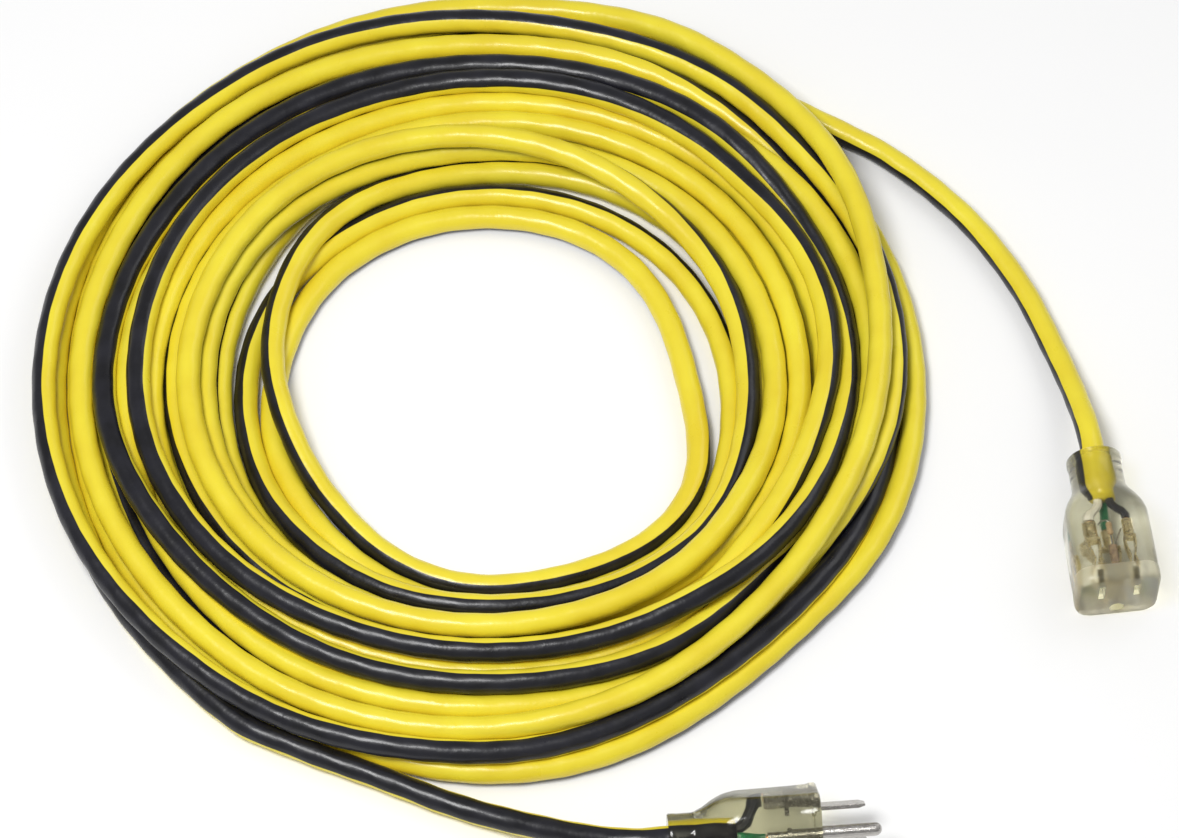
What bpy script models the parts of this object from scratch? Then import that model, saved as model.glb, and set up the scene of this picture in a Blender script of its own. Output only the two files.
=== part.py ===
"""A coiled three-wire outdoor extension cord with a clear plug and a clear lighted connector.

The cord lies on the plane z = 0. Its loose coil is one turned ring, and its two leads run out of
the coil to the plug and to the connector. Both ends hold a jacket end, three insulated wires with
their copper strands, and the metal parts that the wires are crimped into. Numbers are in
millimetres; MM turns them into Blender's metres. The frame's origin is the middle of the whole
object's outline, on the plane that it lies on.
"""

import math

import bmesh
import bpy
import numpy as np
from mathutils import Matrix, Vector

MM = 0.001
GAP = 0.3  # clearance between pieces that touch
RING_POINTS = 32  # points round each lofted section

# The cord: 14/3 outdoor cable.
CORD_R = 4.5
COIL_CENTRE = (-39.8, 21.5)
COIL_OUTER_R = 164.5
COIL_INNER_R = 70.0
COIL_HEIGHT = 27.0
COIL_EDGE_R = 6.0
WIRE_R = 1.55
STRANDS_R = 0.95
WIRE_CIRCLE_R = 2.4  # the three wires lie on this circle inside the jacket
LEAD_POINT_SPACING = 18.0
NECK_STRAIGHT = 12.0  # a lead's last stretch runs straight into its neck

# The standard three-pin pattern that plug and connector share.
BLADE_SPACING = 12.7
PIN_OFFSET = 11.9  # from the blades' line to the pin's axis
BLADE_THICKNESS = 1.52
BLADE_WIDTH = 6.35
PIN_R = 2.38
BLADE_Z = 4.2  # the blades' line, from the housing's axis
PIN_Z = BLADE_Z - PIN_OFFSET

# Both housings: round at the neck, a rounded rectangle at the face.
HOUSING_HALF_Z = 13.8
NECK_BORE_R = CORD_R + GAP
BARREL_R = 1.9
BARREL_BORE_R = STRANDS_R + GAP

# The connector, along its axis from the neck's end.
CONNECTOR_NECK = (183.2, -18.5, HOUSING_HALF_Z)
CONNECTOR_HEADING = math.radians(-83.5)
CONNECTOR_LENGTH = 57.0
CONNECTOR_HALF_Y = 15.0
CONNECTOR_JACKET_END = 20.5
CONNECTOR_POCKET = 50.6  # where the pocket for the face block starts
CONNECTOR_CONTACT_PLATE = 37.0
CONNECTOR_BARREL_START = 30.0

# The spring leaves of the contacts.
LEAF_THICKNESS = 0.6
LEAF_ROOT = CONNECTOR_CONTACT_PLATE + 1.0 + GAP
LEAF_PINCH = 45.5
LEAF_TIP = 49.4
BLADE_LEAF_HALF_GAP = 0.45
PIN_LEAF_HALF_GAP = 2.05

# The plug, along its axis from the neck's end.
PLUG_NECK = (27.9, -172.2, 17.2)
PLUG_HEADING = math.radians(4.6)
PLUG_ROLL = math.radians(40.0)
PLUG_LENGTH = 53.0
PLUG_HALF_Y = 14.0
PLUG_JACKET_END = 24.0
PLUG_POCKET = 46.5
PLUG_BARREL_START = 34.0
PLUG_SHOULDER = 41.0
BLADE_REACH = 16.5
PIN_REACH = 21.0

# Routes of the two leads, from the coil to just before each neck.
CONNECTOR_LEAD_ROUTE = [
    (101.2, 119.8, 14.0),
    (117.1, 112.1, 8.0),
    (131.2, 101.1, 5.0),
    (146.3, 83.7, 4.6),
    (160.7, 60.1, 4.6),
    (169.7, 38.3, 5.0),
    (177.2, 15.3, 8.0),
]
PLUG_LEAD_ROUTE = [
    (-61.8, -147.4, 4.6),
    (-51.7, -151.6, 4.6),
    (-37.6, -156.7, 5.0),
    (-23.9, -161.4, 7.0),
    (-9.8, -166.4, 10.4),
    (3.2, -170.6, 14.2),
]

FINISHES = {
    "yellow_jacket": ((0.82, 0.62, 0.03, 1.0), 0.32, 0.0),
    "clear_vinyl": ((0.55, 0.56, 0.44, 0.45), 0.12, 0.0),
    "brass": ((0.72, 0.53, 0.24, 1.0), 0.3, 1.0),
    "nickel": ((0.62, 0.6, 0.56, 1.0), 0.22, 1.0),
    "copper": ((0.8, 0.36, 0.2, 1.0), 0.35, 1.0),
    "black_insulation": ((0.02, 0.02, 0.02, 1.0), 0.4, 0.0),
    "white_insulation": ((0.8, 0.78, 0.7, 1.0), 0.4, 0.0),
    "green_insulation": ((0.03, 0.3, 0.1, 1.0), 0.4, 0.0),
    "lamp_glass": ((0.95, 0.6, 0.35, 0.6), 0.08, 0.0),
    "resistor_body": ((0.62, 0.45, 0.28, 1.0), 0.5, 0.0),
}


def remove_startup_objects():
    for obj in list(bpy.data.objects):
        bpy.data.objects.remove(obj)


def make_finishes():
    made = {}
    for name, (colour, roughness, metallic) in FINISHES.items():
        finish = bpy.data.materials.new(name)
        finish.use_nodes = True
        shader = finish.node_tree.nodes["Principled BSDF"]
        shader.inputs["Base Color"].default_value = colour
        shader.inputs["Roughness"].default_value = roughness
        shader.inputs["Metallic"].default_value = metallic
        shader.inputs["Alpha"].default_value = colour[3]
        finish.diffuse_color = colour
        made[name] = finish
    return made


class Builder:
    """Adds named objects to one collection, and keeps the cutters in another."""

    def __init__(self):
        self.finishes = make_finishes()
        self.parts = bpy.data.collections.new("extension_cord")
        self.cutters = bpy.data.collections.new("cutters")
        bpy.context.scene.collection.children.link(self.parts)
        bpy.context.scene.collection.children.link(self.cutters)

    def add(self, name, mesh, finish, parent=None, location=(0.0, 0.0, 0.0)):
        obj = bpy.data.objects.new(name, mesh)
        obj.data.materials.append(self.finishes[finish])
        obj.location = Vector(location) * MM
        obj.parent = parent
        self.parts.objects.link(obj)
        return obj

    def add_frame(self, name, location, heading, roll=0.0):
        frame = bpy.data.objects.new(name, None)
        turn = Matrix.Rotation(heading, 4, "Z") @ Matrix.Rotation(roll, 4, "X")
        frame.matrix_world = Matrix.Translation(Vector(location) * MM) @ turn
        self.parts.objects.link(frame)
        return frame

    def cut(self, obj, mesh, name):
        """Cuts a mesh, given in the object's own space, out of the object."""
        cutter = bpy.data.objects.new(name, mesh)
        cutter.parent = obj
        cutter.hide_render = True
        cutter.display_type = "WIRE"
        self.cutters.objects.link(cutter)
        hole = obj.modifiers.new(name, "BOOLEAN")
        hole.operation = "DIFFERENCE"
        hole.solver = "EXACT"
        hole.object = cutter


def mesh_from(bm, name, smooth_angle=35.0):
    bmesh.ops.recalc_face_normals(bm, faces=bm.faces)
    mesh = bpy.data.meshes.new(name)
    bm.to_mesh(mesh)
    bm.free()
    mesh.shade_smooth()
    mesh.set_sharp_from_angle(angle=math.radians(smooth_angle))
    return mesh


def section(x, half_y, half_z, corner=None, centre=(0.0, 0.0), count=RING_POINTS):
    """A ring of points across the x axis: a rounded rectangle, or a circle with corner None."""
    corner = half_y if corner is None else corner
    quarter = count // 4
    ring = []
    for side in range(4):
        sign_y = (1, -1, -1, 1)[side]
        sign_z = (1, 1, -1, -1)[side]
        for step in range(quarter):
            angle = math.pi / 2 * (side + (step + 0.5) / quarter)
            y = centre[0] + sign_y * (half_y - corner) + corner * math.cos(angle)
            z = centre[1] + sign_z * (half_z - corner) + corner * math.sin(angle)
            ring.append((x, y, z))
    return ring


def circle(x, radius, centre=(0.0, 0.0), count=16):
    return section(x, radius, radius, None, centre, count)


def loft(name, sections, closed=False):
    """Joins rings of points into one body. A closed loft runs back into its first ring."""
    bm = bmesh.new()
    rings = [[bm.verts.new(Vector(p) * MM) for p in ring] for ring in sections]
    pairs = list(zip(rings, rings[1:]))
    if closed:
        pairs.append((rings[-1], rings[0]))
    else:
        bm.faces.new(rings[0][::-1])
        bm.faces.new(rings[-1])
    for a, b in pairs:
        for k in range(len(a)):
            n = (k + 1) % len(a)
            bm.faces.new((a[k], a[n], b[n], b[k]))
    return mesh_from(bm, name)


def box_mesh(name, size, centre):
    bm = bmesh.new()
    bmesh.ops.create_cube(bm, size=1.0)
    bmesh.ops.scale(bm, vec=Vector(size) * MM, verts=bm.verts)
    bmesh.ops.translate(bm, vec=Vector(centre) * MM, verts=bm.verts)
    return mesh_from(bm, name)


def strip_mesh(name, path, thickness, width):
    """A bent strip: a path in the xy plane, as thick as stated, and width across z."""
    left, right = [], []
    for k, (x, y) in enumerate(path):
        before = Vector(path[max(k - 1, 0)])
        after = Vector(path[min(k + 1, len(path) - 1)])
        along = (after - before).normalized()
        offset = Vector((-along.y, along.x)) * thickness / 2
        left.append((x + offset.x, y + offset.y))
        right.append((x - offset.x, y - offset.y))
    bm = bmesh.new()
    outline = left + right[::-1]
    low = [bm.verts.new(Vector((x, y, -width / 2)) * MM) for x, y in outline]
    face = bm.faces.new(low)
    grown = bmesh.ops.extrude_face_region(bm, geom=[face])["geom"]
    top = [g for g in grown if isinstance(g, bmesh.types.BMVert)]
    bmesh.ops.translate(bm, vec=(0, 0, width * MM), verts=top)
    return mesh_from(bm, name)


def smooth_route(points, spacing):
    """Points at even spacing along a Catmull-Rom curve through the route's own points."""
    route = np.array(points, dtype=float)
    padded = np.vstack([2 * route[0] - route[1], route, 2 * route[-1] - route[-2]])
    fine = []
    for p0, p1, p2, p3 in zip(padded, padded[1:], padded[2:], padded[3:]):
        for t in np.linspace(0.0, 1.0, 24, endpoint=False):
            fine.append(0.5 * (2 * p1 + (p2 - p0) * t + (2 * p0 - 5 * p1 + 4 * p2 - p3) * t**2
                               + (3 * p1 - p0 - 3 * p2 + p3) * t**3))
    fine.append(route[-1])
    fine = np.array(fine)
    travel = np.concatenate([[0.0], np.cumsum(np.linalg.norm(np.diff(fine, axis=0), axis=1))])
    count = max(3, round(travel[-1] / spacing) + 1)
    stops = np.linspace(0.0, travel[-1], count)
    return [tuple(np.interp(s, travel, fine[:, axis]) for axis in range(3)) for s in stops]


def add_tube(build, name, points, radius, finish, parent=None, resolution=2):
    curve = bpy.data.curves.new(name, "CURVE")
    curve.dimensions = "3D"
    curve.bevel_depth = radius * MM
    curve.bevel_resolution = resolution
    curve.use_fill_caps = True
    spline = curve.splines.new("POLY")
    spline.points.add(len(points) - 1)
    for point, place in zip(spline.points, points):
        point.co = (*(Vector(place) * MM), 1.0)
    return build.add(name, curve, finish, parent)


def add_coil(build):
    """The coil's outer shape: a turned ring with a flat underside and rounded edges."""
    bm = bmesh.new()
    steps = 4
    profile = []
    corners = [
        (COIL_INNER_R + COIL_EDGE_R, COIL_HEIGHT - COIL_EDGE_R, 180),
        (COIL_OUTER_R - COIL_EDGE_R, COIL_HEIGHT - COIL_EDGE_R, 90),
    ]
    profile.append((COIL_INNER_R, 0.0))
    for r, z, start in corners:
        for step in range(steps + 1):
            angle = math.radians(start - 90 * step / steps)
            profile.append((r + COIL_EDGE_R * math.cos(angle), z + COIL_EDGE_R * math.sin(angle)))
    profile.append((COIL_OUTER_R, 0.0))
    verts = [bm.verts.new(Vector((r, 0.0, z)) * MM) for r, z in profile]
    for k, vert in enumerate(verts):
        bm.edges.new((vert, verts[(k + 1) % len(verts)]))
    bmesh.ops.spin(bm, geom=bm.verts[:] + bm.edges[:], cent=(0, 0, 0), axis=(0, 0, 1),
                   angle=2 * math.pi, steps=96, use_merge=True)
    bmesh.ops.remove_doubles(bm, verts=bm.verts, dist=1e-6)
    build.add("cord_coil", mesh_from(bm, "cord_coil"), "yellow_jacket",
              location=(*COIL_CENTRE, 0.0))


def add_lead(build, name, route, frame):
    """A lead along its route, and then straight along the neck's axis up to the neck."""
    entry, end = (tuple(frame.matrix_world @ (Vector((x, 0.0, 0.0)) * MM) / MM)
                  for x in (-NECK_STRAIGHT, -GAP))
    points = smooth_route(route + [entry], LEAD_POINT_SPACING) + [end]
    add_tube(build, name, points, CORD_R, "yellow_jacket", resolution=4)


def crimp_sections(start, plate, centre):
    """A blind crimp barrel, from its bore's end to the root of the plate it is part of."""
    return [
        circle(plate - 0.6, BARREL_BORE_R, centre),
        circle(start, BARREL_BORE_R, centre),
        circle(start, BARREL_R, centre),
        circle(plate - 0.1, BARREL_R, centre),
    ]


def add_wires(build, end, frame, jacket_end, barrel_start, barrel_end, places):
    """The three insulated wires from the jacket's end to their barrels, with bare strands in them."""
    for wire, (y, z, finish) in places.items():
        reach = math.hypot(y, z)
        start = (WIRE_CIRCLE_R * y / reach, WIRE_CIRCLE_R * z / reach)
        stop_x = barrel_start - 0.8
        span = stop_x - jacket_end - GAP
        route = [(jacket_end + GAP, *start)]
        for share, turn in ((0.2, 0.08), (0.45, 0.42), (0.7, 0.86), (0.88, 1.0)):
            route.append((jacket_end + GAP + span * share, start[0] + (y - start[0]) * turn,
                          start[1] + (z - start[1]) * turn))
        route.append((stop_x, y, z))
        add_tube(build, f"{end}_{wire}_wire", smooth_route(route, 1.4), WIRE_R, finish, frame)
        strands = [(x, y, z) for x in (stop_x + GAP, (stop_x + barrel_end) / 2, barrel_end)]
        add_tube(build, f"{end}_{wire}_strands", strands, STRANDS_R, "copper", frame)


def add_jacket_end(build, end, frame, length):
    mesh = loft(f"{end}_jacket_end", [circle(0.0, CORD_R), circle(length / 2, CORD_R),
                                      circle(length, CORD_R)])
    build.add(f"{end}_jacket_end", mesh, "yellow_jacket", frame)


def add_connector_body(build, frame):
    half_y, half_z, length = CONNECTOR_HALF_Y, HOUSING_HALF_Z, CONNECTOR_LENGTH
    wall = 2.2
    outside = [
        section(0.0, 10.2, 10.2),
        section(2.0, 10.2, 10.2),
        section(4.5, 9.7, 9.7),
        section(12.5, 9.7, 9.7),
        section(15.5, 10.8, 10.6, 10.2),
        section(19.0, 12.9, 12.2, 10.4),
        section(22.5, 14.3, 13.4, 9.8),
        section(26.5, half_y, half_z, 8.5),
        section(length - 2.0, half_y, half_z, 6.0),
        section(length, half_y - 1.6, half_z - 1.6, 5.0),
    ]
    inside = [
        section(length, half_y - wall, half_z - wall, 4.4),
        section(CONNECTOR_POCKET, half_y - wall, half_z - wall, 4.4),
        section(CONNECTOR_POCKET, half_y - wall - 0.8, half_z - wall - 0.5, 4.4),
        section(30.0, half_y - wall - 0.8, half_z - wall - 0.5, 5.0),
        section(26.5, 10.2, 9.8, 8.0),
        section(23.5, 8.0, 8.0, 7.9),
        section(21.2, NECK_BORE_R, NECK_BORE_R),
        section(0.0, NECK_BORE_R, NECK_BORE_R),
    ]
    build.add("connector_body", loft("connector_body", outside + inside, closed=True),
              "clear_vinyl", frame)


def add_connector_face(build, frame):
    """The block behind the mating face, with two blade slots and the round ground hole."""
    half_y = CONNECTOR_HALF_Y - 2.2 - GAP
    half_z = HOUSING_HALF_Z - 2.2 - GAP
    start, end = CONNECTOR_POCKET + GAP, CONNECTOR_LENGTH
    mesh = loft("connector_face", [section(start, half_y, half_z, 4.2),
                                   section(end, half_y, half_z, 4.2)])
    face = build.add("connector_face", mesh, "clear_vinyl", frame)
    middle, depth = (start + end) / 2, end - start + 2.0
    slots = (("hot_slot", 1, 7.2), ("neutral_slot", -1, 8.6))
    for name, side, height in slots:
        centre = (middle, side * BLADE_SPACING / 2, BLADE_Z)
        build.cut(face, box_mesh(name, (depth, 2.2, height), centre), name)
    rings = [circle(x, PIN_R + GAP, (0.0, PIN_Z), 24) for x in (start - 1.0, end + 1.0)]
    build.cut(face, loft("ground_hole", rings), "ground_hole")


def add_contact(build, end, wire, frame, centre, half_y, half_z):
    """A fixed contact root: a crimp barrel on a plate that the two leaves stand on."""
    plate = CONNECTOR_CONTACT_PLATE
    sections = crimp_sections(CONNECTOR_BARREL_START, plate, centre) + [
        section(plate, half_y, half_z, 0.5, centre, 16),
        section(plate + 1.0, half_y, half_z, 0.5, centre, 16),
    ]
    name = f"{end}_{wire}_contact"
    build.add(name, loft(name, sections), "brass", frame)


def add_leaves(build, wire, frame, centre, half_gap, width):
    """The two sprung leaves of a contact, each with its origin on the line that it bends about."""
    root_y = half_gap + 1.35
    for name, side in (("right", 1), ("left", -1)):
        path = [
            (0.0, 0.0),
            (2.5, 0.0),
            (LEAF_PINCH - LEAF_ROOT, side * (half_gap + LEAF_THICKNESS / 2 - root_y)),
            (LEAF_TIP - LEAF_ROOT, side * (half_gap + 1.2 - root_y)),
        ]
        mesh = strip_mesh(f"{wire}_leaf_{name}", path, LEAF_THICKNESS, width)
        build.add(f"{wire}_leaf_{name}", mesh, "brass", frame,
                  (LEAF_ROOT, centre[0] + side * root_y, centre[1]))


def add_lamp(build, frame):
    """The pilot lamp between the two blade contacts, its resistor and its three leads."""
    lamp_start, lamp_end, lamp_r = 40.0, 48.0, 1.6
    rings = [circle(lamp_start, lamp_r, (0.0, BLADE_Z))]
    for turn in range(5):
        angle = math.radians(18 * turn)
        x = lamp_end - lamp_r + lamp_r * math.sin(angle)
        rings.append(circle(x, lamp_r * math.cos(angle), (0.0, BLADE_Z)))
    build.add("pilot_lamp", loft("pilot_lamp", rings), "lamp_glass", frame)
    resistor_start, resistor_end = 30.5, 35.5
    profile = ((0.0, 0.7), (0.5, 1.1), (1.4, 1.1), (1.7, 0.95), (3.3, 0.95), (3.6, 1.1),
               (4.5, 1.1), (5.0, 0.7))
    rings = [circle(resistor_start + x, r, (0.0, BLADE_Z)) for x, r in profile]
    build.add("lamp_resistor", loft("lamp_resistor", rings), "resistor_body", frame)
    lead_r = 0.3
    link = [(x, 0.0, BLADE_Z) for x in (resistor_end + GAP, 37.7, lamp_start - GAP)]
    add_tube(build, "lamp_link_lead", link, lead_r, "nickel", frame)
    hot = [(lamp_start - GAP, 1.0, BLADE_Z), (38.9, 1.4, BLADE_Z + 0.6),
           (37.0, 2.5, BLADE_Z + 4.4), (35.0, 3.4, BLADE_Z + 3.6), (34.0, 3.9, BLADE_Z + 1.4)]
    add_tube(build, "lamp_hot_lead", hot, lead_r, "nickel", frame)
    neutral = [(resistor_start - GAP, 0.0, BLADE_Z), (29.6, -0.6, BLADE_Z),
               (29.8, -2.6, BLADE_Z), (31.2, -3.9, BLADE_Z)]
    add_tube(build, "lamp_neutral_lead", neutral, lead_r, "nickel", frame)


def add_connector(build):
    frame = build.add_frame("connector_frame", CONNECTOR_NECK, CONNECTOR_HEADING)
    add_lead(build, "cord_lead_connector", CONNECTOR_LEAD_ROUTE, frame)
    add_jacket_end(build, "connector", frame, CONNECTOR_JACKET_END)
    add_connector_body(build, frame)
    add_connector_face(build, frame)
    places = {
        "hot": (BLADE_SPACING / 2, BLADE_Z, "black_insulation"),
        "neutral": (-BLADE_SPACING / 2, BLADE_Z, "white_insulation"),
        "ground": (0.0, PIN_Z, "green_insulation"),
    }
    add_wires(build, "connector", frame, CONNECTOR_JACKET_END, CONNECTOR_BARREL_START,
              CONNECTOR_CONTACT_PLATE - 0.9, places)
    for wire, (y, z, _) in places.items():
        pin = wire == "ground"
        half_gap = PIN_LEAF_HALF_GAP if pin else BLADE_LEAF_HALF_GAP
        width = 4.6 if pin else BLADE_WIDTH
        add_contact(build, "connector", wire, frame, (y, z), half_gap + 1.7, width / 2)
        add_leaves(build, wire, frame, (y, z), half_gap, width)
    add_lamp(build, frame)


def add_plug_body(build, frame):
    half_y, half_z, length = PLUG_HALF_Y, HOUSING_HALF_Z, PLUG_LENGTH
    wall = 2.2
    outside = [
        section(0.0, 8.8, 8.8),
        section(2.0, 8.8, 8.8),
        section(3.5, 8.3, 8.3),
        section(8.5, 8.3, 8.3),
        section(12.0, 9.7, 9.5, 9.2),
        section(16.0, 12.0, 11.8, 10.0),
        section(20.0, 13.5, 13.2, 10.0),
        section(24.5, half_y, half_z, 9.0),
        section(length - 3.4, half_y, half_z, 8.0),
        section(length - 2.6, half_y + 0.6, half_z + 0.4, 7.5),
        section(length - 0.8, half_y + 0.6, half_z + 0.4, 7.5),
        section(length, half_y - 0.2, half_z - 0.4, 6.8),
    ]
    inside = [
        section(length, half_y - wall, half_z - wall, 5.0),
        section(PLUG_POCKET, half_y - wall, half_z - wall, 5.0),
        section(PLUG_POCKET, half_y - wall - 0.7, half_z - wall - 0.5, 5.0),
        section(32.0, half_y - wall - 0.7, half_z - wall - 0.5, 5.0),
        section(28.5, 9.6, 9.6, 8.6),
        section(26.5, 7.6, 7.6, 7.5),
        section(24.7, NECK_BORE_R, NECK_BORE_R),
        section(0.0, NECK_BORE_R, NECK_BORE_R),
    ]
    build.add("plug_body", loft("plug_body", outside + inside, closed=True), "clear_vinyl", frame)


def add_plug_bridge(build, frame, blades, pin):
    """The block in the plug's face that holds the two blades and the pin."""
    half_y = PLUG_HALF_Y - 2.2 - GAP
    half_z = HOUSING_HALF_Z - 2.2 - GAP
    start, end = PLUG_POCKET + GAP, PLUG_LENGTH
    mesh = loft("plug_bridge", [section(start, half_y, half_z, 4.7),
                                section(end, half_y, half_z, 4.7)])
    bridge = build.add("plug_bridge", mesh, "clear_vinyl", frame)
    middle, depth = (start + end) / 2, end - start + 2.0
    size = (depth, BLADE_THICKNESS + 2 * GAP, BLADE_WIDTH + 2 * GAP)
    for name, (y, z) in blades.items():
        build.cut(bridge, box_mesh(f"{name}_passage", size, (middle, y, z)), f"{name}_passage")
    rings = [circle(x, PIN_R + GAP, pin, 24) for x in (start - 1.0, end + 1.0)]
    build.cut(bridge, loft("ground_passage", rings), "ground_passage")


def add_blade(build, name, frame, centre):
    """A blade in one piece with its crimp barrel and the shoulder that keeps it in the plug."""
    half_t, half_w = BLADE_THICKNESS / 2, BLADE_WIDTH / 2
    tip = PLUG_LENGTH + BLADE_REACH
    sections = crimp_sections(PLUG_BARREL_START, PLUG_SHOULDER, centre) + [
        section(PLUG_SHOULDER, half_t + 1.2, half_w + 0.8, 0.4, centre, 16),
        section(PLUG_SHOULDER + 1.5, half_t + 1.2, half_w + 0.8, 0.4, centre, 16),
        section(PLUG_SHOULDER + 1.6, half_t, half_w, 0.25, centre, 16),
        section(tip - 2.2, half_t, half_w, 0.25, centre, 16),
        section(tip, half_t * 0.5, half_w - 1.1, 0.25, centre, 16),
    ]
    build.add(name, loft(name, sections), "nickel", frame)


def add_ground_pin(build, frame, centre):
    """The round ground pin with its crimp barrel, its collar and a domed tip."""
    tip = PLUG_LENGTH + PIN_REACH
    sections = crimp_sections(PLUG_BARREL_START, PLUG_SHOULDER, centre) + [
        circle(PLUG_SHOULDER, PIN_R + 0.6, centre),
        circle(PLUG_SHOULDER + 1.5, PIN_R + 0.6, centre),
        circle(PLUG_SHOULDER + 1.6, PIN_R, centre),
    ]
    for step in range(6):
        angle = math.radians(15 * step)
        x = tip - PIN_R + PIN_R * math.sin(angle)
        sections.append(circle(x, PIN_R * math.cos(angle), centre))
    build.add("ground_pin", loft("ground_pin", sections), "nickel", frame)


def add_plug(build):
    frame = build.add_frame("plug_frame", PLUG_NECK, PLUG_HEADING, PLUG_ROLL)
    add_lead(build, "cord_lead_plug", PLUG_LEAD_ROUTE, frame)
    add_jacket_end(build, "plug", frame, PLUG_JACKET_END)
    blades = {
        "hot_blade": (BLADE_SPACING / 2, -BLADE_Z),
        "neutral_blade": (-BLADE_SPACING / 2, -BLADE_Z),
    }
    pin = (0.0, -PIN_Z)
    add_plug_body(build, frame)
    add_plug_bridge(build, frame, blades, pin)
    for name, centre in blades.items():
        add_blade(build, name, frame, centre)
    add_ground_pin(build, frame, pin)
    places = {
        "hot": (*blades["hot_blade"], "black_insulation"),
        "neutral": (*blades["neutral_blade"], "white_insulation"),
        "ground": (*pin, "green_insulation"),
    }
    add_wires(build, "plug", frame, PLUG_JACKET_END, PLUG_BARREL_START, PLUG_SHOULDER - 0.9,
              places)


def main():
    remove_startup_objects()
    build = Builder()
    add_coil(build)
    add_connector(build)
    add_plug(build)


main()
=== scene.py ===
"""Looks for the coiled extension cord: one long striped cord, its clear plug and clear connector.

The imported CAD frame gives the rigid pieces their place, apart from the two clear housings, which
are made here at the necks and headings of part.py. The cord's two leads repeat the route points
of part.py, and its coil is wound here from a table of turns and then settled on the floor.
Lengths are in millimetres unless a comment says metres, and MM turns them into metres. The
materials and the stage are in metres.
"""

import math

import bpy
import bmesh
import numpy as np
from mathutils import Matrix, Vector, kdtree


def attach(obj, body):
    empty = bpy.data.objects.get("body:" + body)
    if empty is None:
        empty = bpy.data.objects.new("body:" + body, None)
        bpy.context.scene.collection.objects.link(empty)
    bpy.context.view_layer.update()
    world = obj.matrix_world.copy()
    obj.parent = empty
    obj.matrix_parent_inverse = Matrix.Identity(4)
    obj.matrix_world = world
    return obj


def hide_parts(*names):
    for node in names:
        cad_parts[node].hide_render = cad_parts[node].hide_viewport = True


MM = 0.001

# ---------------------------------------------------------------- sizes shared with part.py, mm
CORD_D = 9.0
CORD_R = CORD_D / 2
COIL_CENTRE = np.array([-39.8, 21.5])
GAP = 0.3
CONNECTOR_NECK = (183.2, -18.5, 13.8)
CONNECTOR_HEADING = math.radians(-83.5)
CONNECTOR_LENGTH = 57.0
CONNECTOR_JACKET_END = 20.5
PLUG_NECK = (27.9, -172.2, 17.2)
PLUG_HEADING = math.radians(4.6)
PLUG_ROLL = math.radians(40.0)
PLUG_LENGTH = 53.0
PLUG_JACKET_END = 24.0
NECK_STRAIGHT = 12.0
CONNECTOR_LEAD_ROUTE = [
    (101.2, 119.8, 14.0),
    (117.1, 112.1, 8.0),
    (131.2, 101.1, 5.0),
    (146.3, 83.7, 4.6),
    (160.7, 60.1, 4.6),
    (169.7, 38.3, 5.0),
    (177.2, 15.3, 8.0),
]
PLUG_LEAD_ROUTE = [
    (-61.8, -147.4, 4.6),
    (-51.7, -151.6, 4.6),
    (-37.6, -156.7, 5.0),
    (-23.9, -161.4, 7.0),
    (-9.8, -166.4, 10.4),
    (3.2, -170.6, 14.2),
]

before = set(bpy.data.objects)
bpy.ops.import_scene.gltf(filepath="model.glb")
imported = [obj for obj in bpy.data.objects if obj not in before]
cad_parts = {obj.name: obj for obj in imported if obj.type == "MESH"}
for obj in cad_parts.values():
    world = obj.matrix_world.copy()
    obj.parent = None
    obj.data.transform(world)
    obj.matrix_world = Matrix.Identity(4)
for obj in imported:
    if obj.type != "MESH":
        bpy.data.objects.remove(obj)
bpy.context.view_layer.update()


def housing_matrix(neck, heading, roll=0.0):
    """Where a housing's own axes lie: its x runs from the neck to the face."""
    turn = Matrix.Rotation(heading, 4, "Z") @ Matrix.Rotation(roll, 4, "X")
    return Matrix.Translation(Vector(neck) * MM) @ turn


CONNECTOR = housing_matrix(CONNECTOR_NECK, CONNECTOR_HEADING)
PLUG = housing_matrix(PLUG_NECK, PLUG_HEADING, PLUG_ROLL)


# ---------------------------------------------------------------- camera
CAMERA_ELEVATION = math.radians(60.0)
CAMERA_DISTANCE = 2.0  # metres
CAMERA_AIM = Vector((0.0005, 0.0005, 0.010))  # metres
IMAGE_WIDTH = 1179
PIXEL = 0.365  # millimetres at the aim point
SENSOR_WIDTH = 36.0


def add_camera():
    """A long lens, well back and above, looking along +Y and down at the coil."""
    width_seen = IMAGE_WIDTH * PIXEL * MM
    data = bpy.data.cameras.new("camera")
    data.sensor_width = SENSOR_WIDTH
    data.lens = SENSOR_WIDTH * CAMERA_DISTANCE / width_seen
    camera = bpy.data.objects.new("camera", data)
    back = Vector((0.0, -math.cos(CAMERA_ELEVATION), math.sin(CAMERA_ELEVATION)))
    camera.location = CAMERA_AIM + back * CAMERA_DISTANCE
    camera.rotation_euler = (math.pi / 2 - CAMERA_ELEVATION, 0.0, 0.0)
    bpy.context.scene.collection.objects.link(camera)
    bpy.context.scene.camera = camera


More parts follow.
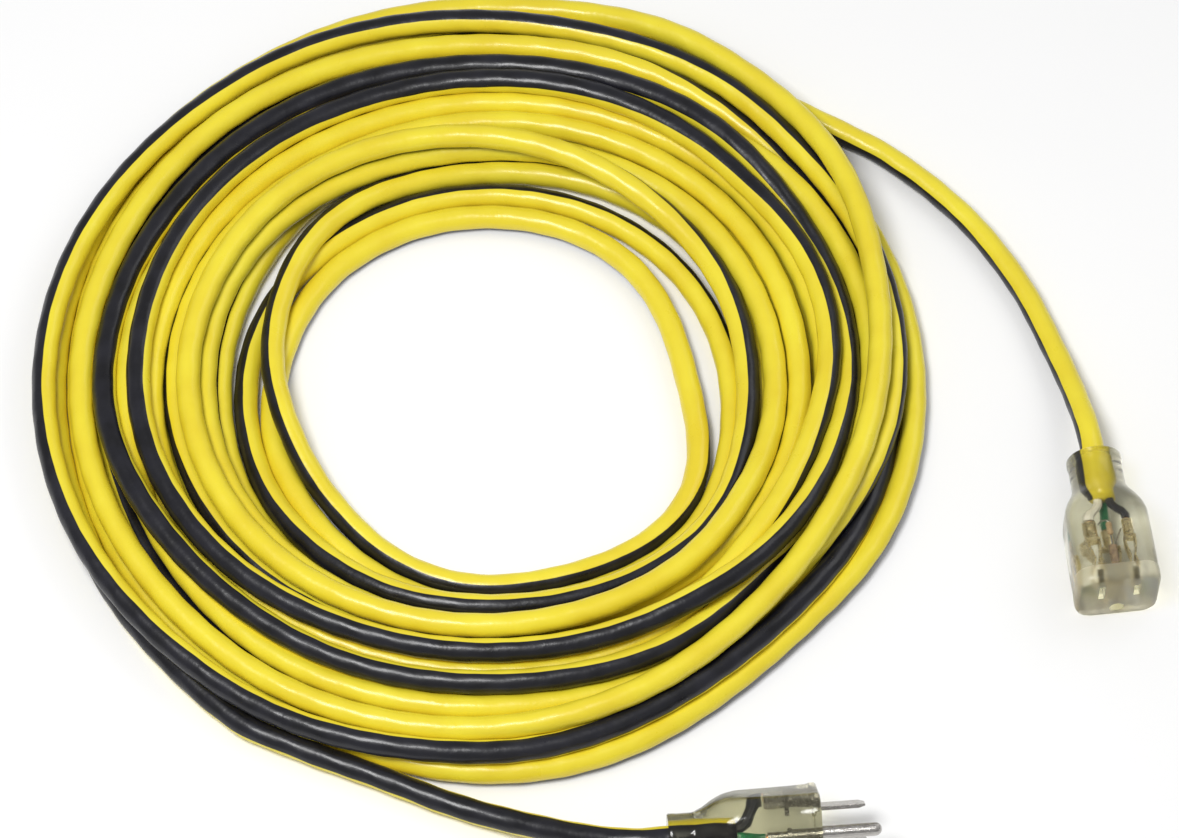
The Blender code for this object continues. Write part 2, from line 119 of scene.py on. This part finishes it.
# ---------------------------------------------------------------- the cord's winding
# Each turn after the lower layer, anticlockwise from the coil's right side, at four or eight even
# angles: radius in mm, level (0 lies on the floor) and the stripe's roll in degrees (0 faces up,
# 90 faces outwards).
LATER_TURNS = [
    ((101.0, 0.0, 150), (97.5, 0.0, 120), (89.5, 0.7, 100), (82.5, 1.0, 85),
     (76.5, 1.0, 85), (76.5, 0.5, 90), (88.8, 0.0, 90), (84.5, 0.0, 95)),
    ((74.6, 0.0, 150), (73.0, 0.0, 180), (69.5, 0.0, 180), (71.0, 0.0, 180),
     (74.5, 0.0, 180), (87.0, 0.0, 180), (96.5, 0.2, 180), (88.5, 0.9, 160)),
    ((90.5, 0.3, 110), (79.2, 0.0, 69), (85.6, 0.0, 80), (99.8, 1.0, 62)),
    ((99.5, 1.0, 66), (97.0, 1.5, 100), (96.5, 1.9, 180), (101.0, 2.0, 180),
     (106.5, 2.0, 180), (109.0, 2.0, 180), (111.0, 2.0, 180), (110.0, 1.5, 180)),
    ((108.5, 1.0, 150), (98.5, 1.0, 180), (101.5, 1.0, 180), (107.8, 1.0, 180)),
    ((117.5, 1.0, 130), (106.5, 1.0, 180), (110.5, 1.0, 120), (117.0, 1.0, 48)),
    ((125.5, 1.0, 88), (115.0, 1.0, 180), (119.5, 1.0, 180), (126.0, 1.0, 180)),
    ((129.5, 2.0, 80), (125.0, 2.0, 35), (119.5, 2.0, 0), (121.5, 2.0, 22),
     (124.8, 2.0, 38), (124.0, 2.0, 45), (121.5, 2.0, 55), (127.5, 2.0, 62)),
    ((135.0, 1.0, 80), (132.5, 1.5, 20), (129.0, 1.8, -15), (131.0, 1.8, 0),
     (133.8, 2.0, 12), (133.0, 2.1, 36), (131.0, 2.0, 52), (137.0, 1.4, 90)),
    ((144.0, 1.0, 180), (134.0, 1.0, 180), (125.0, 1.0, 180), (127.0, 1.0, 180),
     (128.5, 1.0, 180), (133.5, 1.0, 180), (140.5, 1.6, 180), (147.0, 1.0, 170)),
    ((151.0, 1.1, 100), (152.6, 1.0, 41), (158.5, 1.1, 72), (158.0, 1.1, 35)),
    ((153.0, 0.9, 10), (149.0, 0.9, 60), (142.6, 1.1, 150), (144.0, 1.1, 180),
     (146.4, 1.1, 180), (148.0, 1.2, 180), (149.0, 1.3, 180), (148.5, 2.1, 180)),
]
# The winding's last half turn, at eighths of a turn.
LAST_TURN = (
    (146.4, 2.0, 180), (158.5, 1.8, 180), (161.5, 0.6, 180), (158.0, 0.2, 140), (155.5, 0.0, 110),
)
LAST_TURN_STEP = 45.0
LEVEL_HEIGHT = 7.8  # less than a diameter, because upper strands lie in the grooves of lower ones
LOWER_PITCH = 10.8
LOWER_OUTER = (155.5, 148.0, 144.5, 157.4)  # the lower layer's radius at right, back, left, front
LOWER_QUARTERS = 20
LOWER_ROLL = 345.0
LOWER_ROLL_STEP = 15.0  # how much less of it each quarter turn leaves
LEAD_FOOT = 4.8  # the height at which the connector's lead runs in under the coil


def coil_stations():
    """Angle in degrees, radius, height and stripe roll, at each station along the winding."""
    stations = [
        (62.0, 160.0, LEAD_FOOT, -100.0), (90.0, 155.5, CORD_R, -120.0),
        (180.0, 147.5, CORD_R, -150.0), (225.0, 149.0, CORD_R, -160.0),
        (270.0, 161.0, CORD_R, -170.0), (360.0, 156.0, CORD_R, -180.0),
    ]
    # the lower layer goes round from the outside in, a little over a diameter nearer each turn
    for quarter in range(1, LOWER_QUARTERS):
        radius = LOWER_OUTER[quarter % 4] - LOWER_PITCH * quarter / 4
        roll = LOWER_ROLL - LOWER_ROLL_STEP * quarter
        stations.append((360.0 + 90.0 * quarter, radius, CORD_R, roll))
    angle = 360.0 + 90.0 * LOWER_QUARTERS
    for row in LATER_TURNS:
        for radius, level, roll in row:
            stations.append((angle, radius, CORD_R + LEVEL_HEIGHT * level, roll))
            angle += 360.0 / len(row)
    for radius, level, roll in LAST_TURN:
        stations.append((angle, radius, CORD_R + LEVEL_HEIGHT * level, roll))
        angle += LAST_TURN_STEP
    last = angle - LAST_TURN_STEP
    return stations + [(last + 40.0, 157.5, CORD_R, 60.0), (last + 62.0, 165.0, CORD_R, 12.0)]


def coil_point(angle, radius, height):
    a = math.radians(angle)
    return (COIL_CENTRE[0] + radius * math.cos(a), COIL_CENTRE[1] + radius * math.sin(a), height)


def catmull(values, where):
    """Smooth values between evenly counted stations, at fractional station numbers."""
    values = np.asarray(values, float)
    padded = np.vstack([2 * values[0] - values[1], values, 2 * values[-1] - values[-2]])
    k = np.clip(np.floor(where).astype(int), 0, len(values) - 2)
    t = (where - k)[:, None]
    p0, p1, p2, p3 = (padded[k + n] for n in range(4))
    return 0.5 * (2 * p1 + (p2 - p0) * t + (2 * p0 - 5 * p1 + 4 * p2 - p3) * t**2
                  + (3 * p1 - p0 - 3 * p2 + p3) * t**3)


def resample(points, extra, spacing):
    """Even spacing along a line of points, with further values carried along."""
    travel = np.concatenate([[0], np.cumsum(np.linalg.norm(np.diff(points, axis=0), axis=1))])
    count = int(round(travel[-1] / spacing)) + 1
    stops = np.linspace(0, travel[-1], count)
    line = np.stack([np.interp(stops, travel, points[:, k]) for k in range(3)], 1)
    return line, np.interp(stops, travel, extra)


def lead_points(route, matrix, inside):
    """A lead from the coil to its neck, straight along the axis and on to the jacket's end."""
    along = [(-NECK_STRAIGHT, 0, 0), (-GAP, 0, 0), (inside / 2, 0, 0), (inside, 0, 0)]
    return list(route) + [tuple(matrix @ (Vector(p) * MM) / MM) for p in along]


STATION_STEPS = 30
LEAD_STEPS = 12
SPACING = 4.6  # between the points that settle
LEAD_ROLL = -124.0  # the stripe's roll along the connector's lead
PLUG_LEAD_ROLLS = (12.0, 45.0)
START_LOOSE = 110.0  # how much of the connector's lead settles with the coil
END_LOOSE = 30.0
EASE = 40.0  # the stretch over which a lead goes from loose to held

SQUEEZE_ANGLE = 318.0  # the coil's near right, where its strands are drawn together
SQUEEZE_WIDTH = 28.0
SQUEEZE_INNER = 14.0
SQUEEZE_OUTER = 8.0
COIL_INNER = 79.0
COIL_WIDTH = 80.0


def squeeze(angles, radii):
    """How far each point of the coil moves outwards, near the squeezed side."""
    near = np.exp(-(((angles - SQUEEZE_ANGLE + 180) % 360 - 180) / SQUEEZE_WIDTH) ** 2)
    across = (radii - COIL_INNER) / COIL_WIDTH
    return near * (SQUEEZE_INNER * (1 - across) - SQUEEZE_OUTER * across)


def path_length(points):
    return np.linalg.norm(np.diff(points, axis=0), axis=1).sum()


def winding():
    """The whole cord before it settles: points, stripe rolls, and which points are held."""
    stations = coil_stations()
    polar = catmull(stations, np.arange(0, len(stations) - 1, 1 / STATION_STEPS))
    polar[:, 1] += squeeze(polar[:, 0], polar[:, 1])
    coil = np.array([coil_point(*p[:3]) for p in polar])
    # the CAD coil takes this lead in halfway up its side; here the lead lies on the floor, moved back
    # so that the camera sees it in the same place
    floor_route = [(x, y + max(z - LEAD_FOOT, 0.0) / math.tan(CAMERA_ELEVATION), min(z, LEAD_FOOT))
                   for x, y, z in CONNECTOR_LEAD_ROUTE[:3]]
    floor_route += CONNECTOR_LEAD_ROUTE[3:]
    start = lead_points(floor_route, CONNECTOR, CONNECTOR_JACKET_END)[::-1]
    end = lead_points(PLUG_LEAD_ROUTE, PLUG, PLUG_JACKET_END)
    fine_start = catmull(start + [tuple(coil[0])], np.arange(0, len(start), 1 / LEAD_STEPS))
    fine_end = catmull([tuple(coil[-1])] + end, np.arange(0, len(end) + 1e-9, 1 / LEAD_STEPS))
    points = np.vstack([fine_start, coil[1:-1], fine_end])
    rolls = np.concatenate([np.full(len(fine_start), LEAD_ROLL), polar[1:-1, 3],
                            np.linspace(*PLUG_LEAD_ROLLS, len(fine_end))])
    line, rolls = resample(points, rolls, SPACING)
    travel = np.arange(len(line)) * SPACING
    start_held = path_length(fine_start) - START_LOOSE
    end_held = travel[-1] - path_length(fine_end) + END_LOOSE
    held = np.clip(np.maximum((start_held - travel) / EASE, (travel - end_held) / EASE), 0, 1)
    return line, rolls, held


NEIGHBOURS = 4  # points this near along the cord are not pushed apart


def touching_pairs(points, reach):
    """Pairs of points on strands that lie within reach of each other."""
    tree = kdtree.KDTree(len(points))
    for index, point in enumerate(points):
        tree.insert(point, index)
    tree.balance()
    first, second = [], []
    for index, point in enumerate(points):
        for _, other, _ in tree.find_range(point, reach):
            if other > index + NEIGHBOURS:
                first.append(index)
                second.append(other)
    return np.array(first, int), np.array(second, int)


SMOOTHINGS = 3  # how often each step evens out the drift along the cord
PRESSED = CORD_D * 1.01  # strands are pushed apart while their centre lines are nearer than this
REACH = 2.5  # pairs are followed while they are this much further apart
SINK = 0.05  # how far each step lets a loose strand drop
RECALL = 0.985  # how much of its sideways drift each step leaves
FIRMNESS = 0.3  # the share of an overlap that one push takes away from each strand
FLOOR_GAP = 0.02


def settle(points, held, rounds=36, steps=12):
    """Lets the strands drop and press apart, near where they were wound.

    Where many strands cross, some still end a little less than a diameter apart.
    """
    wound = points.copy()
    loose = (1 - held)[:, None]
    drift = np.zeros_like(points)
    for _ in range(rounds):
        a, b = touching_pairs(wound + drift, PRESSED + REACH)
        for _ in range(steps):
            for _ in range(SMOOTHINGS):
                drift[1:-1] += 0.5 * (0.5 * (drift[:-2] + drift[2:]) - drift[1:-1])
            drift[:, :2] *= RECALL
            drift[:, 2] -= SINK
            drift *= loose
            here = wound + drift
            gap = here[a] - here[b]
            distance = np.linalg.norm(gap, axis=1) + 1e-9
            deep = np.clip(PRESSED - distance, 0, None)
            push = gap / distance[:, None] * (FIRMNESS * deep)[:, None]
            for axis in range(3):
                drift[:, axis] += np.bincount(a, push[:, axis], len(points))
                drift[:, axis] -= np.bincount(b, push[:, axis], len(points))
            drift[:, 2] = np.maximum(drift[:, 2], CORD_R + FLOOR_GAP - wound[:, 2])
            drift *= loose
    return wound + drift


def tangents(points):
    step = np.gradient(points, axis=0)
    return step / np.linalg.norm(step, axis=1)[:, None]


SIDES = 20
RING_STEP = 3.0
LAY = 45.0  # the length in which the three conductors go once round, each raising a ridge
RIDGE = 0.09


def tube_quads(rings):
    """The ring and side of every quad of a tube, and its corners' point numbers."""
    i, k = np.meshgrid(np.arange(rings - 1), np.arange(SIDES), indexing="ij")
    n = (k + 1) % SIDES
    near, far = i * SIDES, (i + 1) * SIDES
    return i, k, np.stack([near + k, near + n, far + n, far + k], -1).reshape(-1, 4)


def cord_mesh(name, line, rolls):
    """A tube whose first UV runs round it from the stripe's back, and second along it in metres."""
    points, rolls = resample(line, rolls, RING_STEP)
    along = tangents(points)
    side = np.cross(along, (0.0, 0.0, 1.0))
    side /= np.linalg.norm(side, axis=1)[:, None]
    up = np.cross(side, along)
    travel = np.arange(len(points)) * RING_STEP
    rings = []
    for k in range(SIDES):
        turn = np.radians(rolls) + 2 * math.pi * (k / SIDES - 0.5)
        lobe = 3 * (turn - 2 * math.pi * travel / LAY)
        radius = CORD_R - RIDGE + RIDGE * np.cos(lobe)
        outwards = np.cos(turn)[:, None] * up + np.sin(turn)[:, None] * side
        rings.append(points + radius[:, None] * outwards)
    co = np.stack(rings, 1).reshape(-1, 3) * MM
    i, k, quads = tube_quads(len(points))
    faces = quads.tolist()
    faces.append(list(range(SIDES))[::-1])
    faces.append([(len(points) - 1) * SIDES + corner for corner in range(SIDES)])
    mesh = bpy.data.meshes.new(name)
    mesh.from_pydata(co.tolist(), [], faces)
    uv = mesh.uv_layers.new(name="along")
    u = np.stack([k, k + 1, k + 1, k], -1).reshape(-1, 4) / SIDES
    v = (np.stack([i, i, i + 1, i + 1], -1) * RING_STEP * MM).reshape(-1, 4)
    flat = np.zeros((len(mesh.loops), 2))
    flat[: u.size, 0] = u.ravel()
    flat[: u.size, 1] = v.ravel()
    uv.data.foreach_set("uv", flat.ravel())
    mesh.shade_smooth()
    return mesh, points * MM


# ---------------------------------------------------------------- the clear housings
def ring(x, half_y, half_z, corner, quarter=16):
    """Points round a rounded rectangle across the x axis, in millimetres."""
    points = []
    for side in range(4):
        sign_y, sign_z = ((1, 1), (-1, 1), (-1, -1), (1, -1))[side]
        for step in range(quarter):
            angle = math.pi / 2 * (side + (step + 0.5) / quarter)
            points.append((x, sign_y * (half_y - corner) + corner * math.cos(angle),
                           sign_z * (half_z - corner) + corner * math.sin(angle)))
    return points


LONG_STEP = 2.4  # sections further apart than this have more put between them


def finer(sections, fine=5):
    """Sections eased between the given ones, so that the loft curves where the moulding does."""
    rows = []
    for one, two in zip(sections, sections[1:]):
        count = fine if two[0] - one[0] > LONG_STEP and one[1:] != two[1:] else 1
        for k in range(count):
            t = k / count
            rows.append([p + (q - p) * t for p, q in zip(one, two)])
    rows = np.array(rows + [list(sections[-1])])
    for _ in range(2):
        rows[1:-1, 1:] = 0.25 * rows[:-2, 1:] + 0.5 * rows[1:-1, 1:] + 0.25 * rows[2:, 1:]
    return rows.tolist()


def loft_mesh(name, rings):
    """A closed body through rings of points, flat at both ends."""
    bm = bmesh.new()
    rows = [[bm.verts.new(Vector(p) * MM) for p in points] for points in rings]
    for one, two in zip(rows, rows[1:]):
        for k in range(len(one)):
            n = (k + 1) % len(one)
            bm.faces.new((one[k], one[n], two[n], two[k]))
    bm.faces.new(rows[0][::-1])
    bm.faces.new(rows[-1])
    bmesh.ops.recalc_face_normals(bm, faces=bm.faces)
    mesh = bpy.data.meshes.new(name)
    bm.to_mesh(mesh)
    bm.free()
    return mesh


def smooth_by_angle(mesh, degrees=32.0):
    mesh.shade_smooth()
    mesh.set_sharp_from_angle(angle=math.radians(degrees))


def place(name, mesh):
    obj = bpy.data.objects.new(name, mesh)
    bpy.context.scene.collection.objects.link(obj)
    return obj


def cut(obj, cutters):
    """Takes the cutters out of a body, and removes them."""
    for cutter in cutters:
        step = obj.modifiers.new("cut", "BOOLEAN")
        step.operation = "DIFFERENCE"
        step.solver = "EXACT"
        step.object = cutter
    graph = bpy.context.evaluated_depsgraph_get()
    mesh = bpy.data.meshes.new_from_object(obj.evaluated_get(graph))
    obj.modifiers.clear()
    obj.data = mesh
    for cutter in cutters:
        bpy.data.objects.remove(cutter)


BLADE_SIDE = 6.35  # half the spacing of the two blades
BLADE_Z = 4.2
PIN_Z = -7.7
SLOT_HALF_WIDTH = 1.1
SLOT_HALF_HEIGHTS = ((1, 3.6), (-1, 4.3))  # the side each slot lies on, and half its height
GROUND_HOLE_R = 2.7
SLOT_DEPTH = 6.4
FACE_START = 50.6  # the frosted face begins here, level with the floor of the slots
WALLS_HALF_WIDTH = 8.0  # the openings' walls lie inside this part of the face
WALLS_HALF_HEIGHT = 10.5

# x from the neck, half width, half height and corner radius
CONNECTOR_SECTIONS = [
    (0.0, 9.7, 9.7, 9.7), (0.5, 10.2, 10.2, 10.2), (2.0, 10.2, 10.2, 10.2), (4.5, 9.7, 9.7, 9.7),
    (12.5, 9.7, 9.7, 9.7), (15.5, 10.8, 10.6, 10.2), (19.0, 12.9, 12.2, 10.4), (22.5, 14.3, 13.4, 9.8),
    (26.5, 15.0, 13.8, 8.5), (49.8, 15.0, 13.8, 6.4), (50.4, 14.7, 13.5, 6.2), (50.9, 15.0, 13.8, 6.2),
    (55.6, 15.0, 13.8, 6.0), (56.5, 14.5, 13.3, 5.6), (57.0, 13.5, 12.3, 5.0),
]
PLUG_SECTIONS = [
    (0.0, 8.3, 8.3, 8.3), (0.5, 8.8, 8.8, 8.8), (2.0, 8.8, 8.8, 8.8), (3.5, 8.3, 8.3, 8.3),
    (8.5, 8.3, 8.3, 8.3), (12.0, 9.7, 9.5, 9.2), (16.0, 12.0, 11.8, 10.0), (20.0, 13.5, 13.2, 10.0),
    (24.5, 14.0, 13.8, 9.0), (49.6, 14.0, 13.8, 8.0), (50.2, 14.6, 14.2, 7.5), (52.2, 14.6, 14.2, 7.5),
    (52.7, 14.3, 13.9, 7.2), (53.0, 13.6, 13.2, 6.6),
]


def slot_cutters():
    """The two blade slots and the round ground hole, as solids that reach past the face."""
    start, end = CONNECTOR_LENGTH - SLOT_DEPTH, CONNECTOR_LENGTH + 1.0
    cutters = []
    for side, height in SLOT_HALF_HEIGHTS:
        rings = [[(x, side * BLADE_SIDE + y, BLADE_Z + z)
                  for x, y, z in ring(x, SLOT_HALF_WIDTH, height, 0.2, 2)] for x in (start, end)]
        cutters.append(place("slot", loft_mesh("slot", rings)))
    round_hole = (GROUND_HOLE_R, GROUND_HOLE_R, GROUND_HOLE_R, 6)
    rings = [[(x, y, PIN_Z + z) for x, y, z in ring(x, *round_hole)] for x in (start, end)]
    cutters.append(place("ground_slot", loft_mesh("ground_slot", rings)))
    return cutters


def in_a_slot(at):
    """Whether a point of the connector, in its own axes, lies in the slots or the ground hole."""
    deep = FACE_START * MM - 0.01 * MM < at.x < (CONNECTOR_LENGTH - 0.2) * MM
    return deep and abs(at.y) < WALLS_HALF_WIDTH * MM and abs(at.z) < WALLS_HALF_HEIGHT * MM


def add_connector_shell(clear, frosted, slot_shade_vinyl):
    """The connector's clear moulding, with a frosted face and its slots cut in it. The slots' walls take
    the darker smoky vinyl as painted shade.
    """
    mesh = loft_mesh("connector_shell", [ring(*row) for row in finer(CONNECTOR_SECTIONS)])
    shell = place("connector_shell", mesh)
    cut(shell, slot_cutters())
    faces = shell.data.polygons
    front = [face.index for face in faces if face.center.x > FACE_START * MM]
    inside = [face.index for face in faces if in_a_slot(face.center)]
    finish_shell(shell, CONNECTOR, clear)
    shell.data.materials.append(frosted)
    shell.data.materials.append(slot_shade_vinyl)
    for index in front:
        shell.data.polygons[index].material_index = 1
    # the slots' walls take the darker smoky vinyl: painted shade in the slots
    for index in inside:
        shell.data.polygons[index].material_index = 2
    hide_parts("connector_body", "connector_face")
    return shell


def add_plug_shell(clear):
    """The plug's clear moulding. Its blades and pin stand in it and out of its face."""
    mesh = loft_mesh("plug_shell", [ring(*row) for row in finer(PLUG_SECTIONS)])
    shell = place("plug_shell", mesh)
    finish_shell(shell, PLUG, clear)
    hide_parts("plug_body", "plug_bridge")
    return shell


def finish_shell(shell, matrix, clear):
    """Moves a housing to its place, and gives it its material and body."""
    shell.data.transform(matrix)
    smooth_by_angle(shell.data)
    shell.data.materials.clear()
    shell.data.materials.append(clear)
    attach(shell, "cord")


# ---------------------------------------------------------------- materials
class Look:
    """A new material and short calls that add nodes to it and join them."""

    def __init__(self, name):
        self.material = bpy.data.materials.new(name)
        self.material.use_nodes = True
        self.nodes = self.material.node_tree.nodes
        self.links = self.material.node_tree.links
        self.shader = self.nodes["Principled BSDF"]
        self.place = self.add("ShaderNodeTexCoord").outputs["Object"]

    def add(self, kind, **settings):
        node = self.nodes.new(kind)
        for key, value in settings.items():
            setattr(node, key, value)
        return node

    def put(self, value, socket):
        """Joins an output to a socket, or sets the socket to a plain value."""
        if isinstance(value, bpy.types.NodeSocket):
            self.links.new(value, socket)
        else:
            socket.default_value = value

    def noise(self, scale, detail=3.0, vector=None, stretch=None):
        node = self.add("ShaderNodeTexNoise")
        node.inputs["Scale"].default_value = scale
        node.inputs["Detail"].default_value = detail
        where = vector or self.place
        if stretch:
            mapping = self.add("ShaderNodeMapping")
            mapping.inputs["Scale"].default_value = stretch
            self.links.new(where, mapping.inputs["Vector"])
            where = mapping.outputs[0]
        self.links.new(where, node.inputs["Vector"])
        return node.outputs["Fac"]

    def span(self, value, low, high, start=0.3, stop=0.7):
        """Maps start..stop to low..high, held at both ends."""
        node = self.add("ShaderNodeMapRange")
        self.put(value, node.inputs["Value"])
        for name, number in (("From Min", start), ("From Max", stop), ("To Min", low), ("To Max", high)):
            node.inputs[name].default_value = number
        return node.outputs["Result"]

    def sum(self, one, other, kind="ADD"):
        node = self.add("ShaderNodeMath", operation=kind)
        self.put(one, node.inputs[0])
        self.put(other, node.inputs[1])
        return node.outputs[0]

    def blend(self, share, one, other):
        """The colour one where share is 0 and other where it is 1."""
        node = self.add("ShaderNodeMix", data_type="RGBA")
        self.put(share, node.inputs[0])
        self.put(one, node.inputs[6])
        self.put(other, node.inputs[7])
        return node.outputs[2]

    def bump(self, height, distance, strength=1.0):
        node = self.add("ShaderNodeBump")
        node.inputs["Distance"].default_value = distance
        node.inputs["Strength"].default_value = strength
        self.links.new(height, node.inputs["Height"])
        self.links.new(node.outputs[0], self.shader.inputs["Normal"])

    def set(self, **values):
        for name, value in values.items():
            self.put(value, self.shader.inputs[name.replace("_", " ")])


STRIPE_HALF = 0.188  # the stripe's half width, as a share of the way round
STRIPE_SOFT = 0.004  # half of its soft edge


def jacket_look():
    """Glossy yellow vinyl with one broad black stripe."""
    look = Look("jacket")
    uv = look.add("ShaderNodeUVMap", uv_map="along").outputs[0]
    split = look.add("ShaderNodeSeparateXYZ")
    look.links.new(uv, split.inputs[0])
    off = look.sum(look.sum(split.outputs[0], 0.5, "SUBTRACT"), 0.0, "ABSOLUTE")
    wander = look.span(look.noise(55.0, 2.0), -0.006, 0.006)
    edge = look.span(look.sum(off, wander), 1.0, 0.0, STRIPE_HALF - STRIPE_SOFT,
                     STRIPE_HALF + STRIPE_SOFT)
    yellow = look.blend(look.span(look.noise(38.0, 4.0), 0.0, 1.0),
                        (0.83, 0.71, 0.042, 1), (0.75, 0.59, 0.028, 1))
    black = look.blend(look.span(look.noise(90.0, 5.0), 0.0, 1.0, 0.35, 0.75),
                       (0.004, 0.004, 0.006, 1), (0.014, 0.014, 0.021, 1))
    look.set(Base_Color=look.blend(edge, yellow, black), Specular_IOR_Level=0.38, Coat_Weight=0.14,
             Coat_Roughness=0.12, Roughness=look.span(look.noise(140.0, 4.0), 0.26, 0.42))
    look.bump(look.noise(420.0, 3.0), 0.00012)
    return look.material


def clear_look(name, light, dark, rough):
    """Clear vinyl that bends what is seen in it, and lets lamps reach what it holds."""
    look = Look(name)
    tint = look.blend(look.span(look.noise(60.0, 3.0), 0.0, 1.0), light, dark)
    look.set(Base_Color=tint, Roughness=look.span(look.noise(120.0, 3.0), *rough), IOR=1.42,
             Transmission_Weight=1.0)
    look.bump(look.noise(90.0, 2.0), 0.0003)
    see = look.add("ShaderNodeBsdfTransparent")
    see.inputs[0].default_value = (0.86, 0.85, 0.78, 1)
    rays = look.add("ShaderNodeLightPath")
    mix = look.add("ShaderNodeMixShader")
    look.put(rays.outputs["Is Shadow Ray"], mix.inputs[0])
    look.links.new(look.shader.outputs[0], mix.inputs[1])
    look.links.new(see.outputs[0], mix.inputs[2])
    look.links.new(mix.outputs[0], look.nodes["Material Output"].inputs["Surface"])
    return look.material


def plain_look(name, light, dark, rough=(0.3, 0.5), metallic=0.0, scale=220.0, grain=0.00006,
               stretch=None):
    """A finish whose colour, roughness and surface all vary a little.

    The scale is in cycles a metre, the grain is the bump's height in metres, and stretch draws
    the variation out along an axis.
    """
    look = Look(name)
    colour = look.span(look.noise(scale, 4.0, stretch=stretch), 0.0, 1.0)
    look.set(Base_Color=look.blend(colour, light, dark), Metallic=metallic,
             Roughness=look.span(look.noise(scale * 1.7, 4.0, stretch=stretch), *rough))
    look.bump(look.noise(scale * 4.0, 3.0, stretch=stretch), grain)
    return look.material


def lamp_look():
    """The neon lamp: thin glass with an uneven warm tint."""
    look = Look("lamp_glass")
    tint = look.blend(look.span(look.noise(500.0), 0.0, 1.0),
                      (0.5, 0.36, 0.24, 1), (0.2, 0.15, 0.11, 1))
    look.set(Base_Color=tint, Roughness=look.span(look.noise(700.0), 0.08, 0.18),
             Coat_Weight=0.6, Alpha=0.75)
    return look.material


# name: light colour, dark colour, least and most roughness
CLEAR_LOOKS = {
    "clear_vinyl": ((0.55, 0.54, 0.46, 1), (0.46, 0.45, 0.37, 1), (0.10, 0.22)),
    "smoky_vinyl": ((0.46, 0.45, 0.33, 1), (0.37, 0.36, 0.25, 1), (0.08, 0.18)),
    "frosted_vinyl": ((0.84, 0.82, 0.74, 1), (0.76, 0.74, 0.64, 1), (0.3, 0.45)),
}
# the same, and for the metals how metallic, the scale, the grain and the stretch
PLAIN_LOOKS = {
    "black_insulation": ((0.012, 0.012, 0.016, 1), (0.03, 0.03, 0.038, 1)),
    "white_insulation": ((0.86, 0.83, 0.74, 1), (0.74, 0.70, 0.58, 1)),
    "green_insulation": ((0.02, 0.22, 0.09, 1), (0.015, 0.14, 0.06, 1)),
    "copper": ((0.80, 0.42, 0.20, 1), (0.55, 0.26, 0.12, 1), (0.25, 0.45), 1.0, 900.0, 0.0002),
    "contact_brass": ((0.80, 0.70, 0.44, 1), (0.52, 0.42, 0.22, 1), (0.18, 0.4), 1.0, 350.0,
                      0.0001),
    "nickel": ((0.62, 0.60, 0.57, 1), (0.36, 0.34, 0.32, 1), (0.14, 0.32), 1.0, 260.0, 0.00004,
               (1.0, 14.0, 14.0)),
    "resistor": ((0.62, 0.46, 0.28, 1), (0.45, 0.30, 0.16, 1), (0.3, 0.5)),
}


def make_looks():
    looks = {"jacket": jacket_look(), "lamp_glass": lamp_look()}
    looks.update({name: clear_look(name, *facts) for name, facts in CLEAR_LOOKS.items()})
    looks.update({name: plain_look(name, *facts) for name, facts in PLAIN_LOOKS.items()})
    return looks


# ---------------------------------------------------------------- stage
FLOOR_HALF = 4  # metres
WORLD_STRENGTH = 0.40
LAMPS = {  # name: place and size in metres, and power in watts
    "key": ((-0.35, -0.35, 1.3), 0.45, 14.0),
    "fill": ((0.9, 0.5, 1.1), 0.8, 3.0),
}


def add_stage():
    """A plain pale floor, an even white world, and two soft lamps that face the middle."""
    half = FLOOR_HALF
    mesh = bpy.data.meshes.new("floor")
    corners = [(-half, -half, 0), (half, -half, 0), (half, half, 0), (-half, half, 0)]
    mesh.from_pydata(corners, [], [(0, 1, 2, 3)])
    floor = place("floor", mesh)
    floor.data.materials.append(
        plain_look("floor", (0.93, 0.93, 0.93, 1), (0.90, 0.90, 0.90, 1), (0.5, 0.6), 0.0, 3.0))
    world = bpy.data.worlds.new("studio")
    world.use_nodes = True
    world.node_tree.nodes["Background"].inputs[0].default_value = (1, 1, 1, 1)
    world.node_tree.nodes["Background"].inputs[1].default_value = WORLD_STRENGTH
    bpy.context.scene.world = world
    for name, (where, size, power) in LAMPS.items():
        data = bpy.data.lights.new(name, "AREA")
        data.size = size
        data.energy = power
        light = bpy.data.objects.new(name, data)
        light.location = where
        light.rotation_euler = (-Vector(where)).to_track_quat("-Z", "Y").to_euler()
        bpy.context.scene.collection.objects.link(light)


def main():
    add_camera()
    bpy.context.scene.view_settings.view_transform = "Standard"
    line, rolls, held = winding()
    line = settle(line, held)
    mesh, path = cord_mesh("cord", line, rolls)
    cord = place("cord", mesh)
    looks = make_looks()
    mesh.materials.append(looks["jacket"])
    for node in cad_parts.values():
        for k, material in enumerate(node.data.materials):
            node.data.materials[k] = looks[material.name.split(".")[0]]
    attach(cord, "cord")
    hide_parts("cord_coil", "cord_lead_connector", "cord_lead_plug",
                "connector_jacket_end", "plug_jacket_end")
    add_connector_shell(looks["clear_vinyl"], looks["frosted_vinyl"], looks["smoky_vinyl"])
    plug_shell = add_plug_shell(looks["smoky_vinyl"])
    hidden = ("plug_jacket_end", "plug_body", "plug_bridge")
    plug_pieces = [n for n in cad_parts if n.startswith("plug_") and n not in hidden]
    plug_pieces += ["hot_blade", "neutral_blade", "ground_pin"]
    add_stage()


main()
